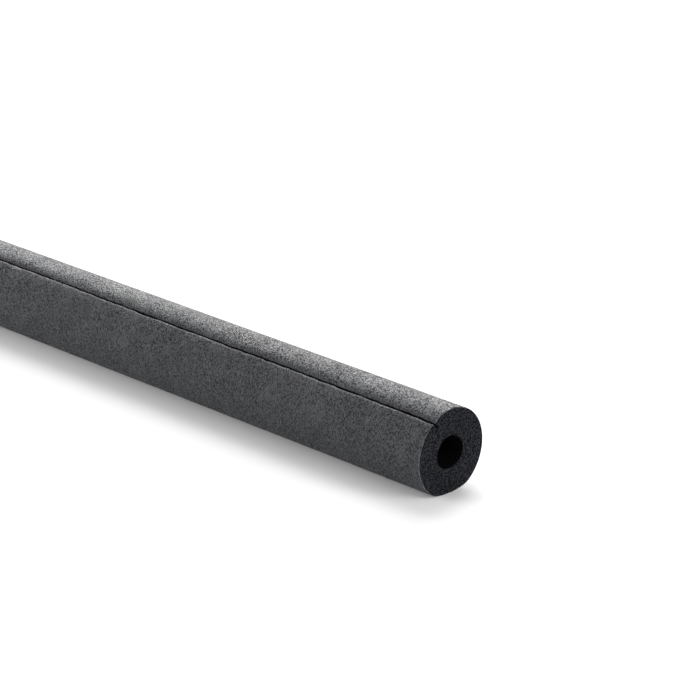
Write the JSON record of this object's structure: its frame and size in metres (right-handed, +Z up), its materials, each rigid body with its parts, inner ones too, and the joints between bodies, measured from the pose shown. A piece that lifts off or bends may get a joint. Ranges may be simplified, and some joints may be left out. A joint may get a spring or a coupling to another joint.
{
  "type": "pipe insulation lagging",
  "caption": "Round charcoal foam tube that lags a small heating or water pipe, with a plain bore and a pre-cut slit running along it.",
  "frame": {"origin": "on the surface that the tube lies on, below the middle of its axis", "axes": "+X along the tube, towards the end that faces the viewer; +Z up; the slit lies on the upper half, on the -Y side"},
  "size_m": [1, 0.0424, 0.0409],
  "materials": {
    "charcoal_foam": "dull closed-cell foam with a fine grain"
  },
  "bodies": {
    "root": {"foam_tube": "charcoal_foam"}
  },
  "joints": []
}
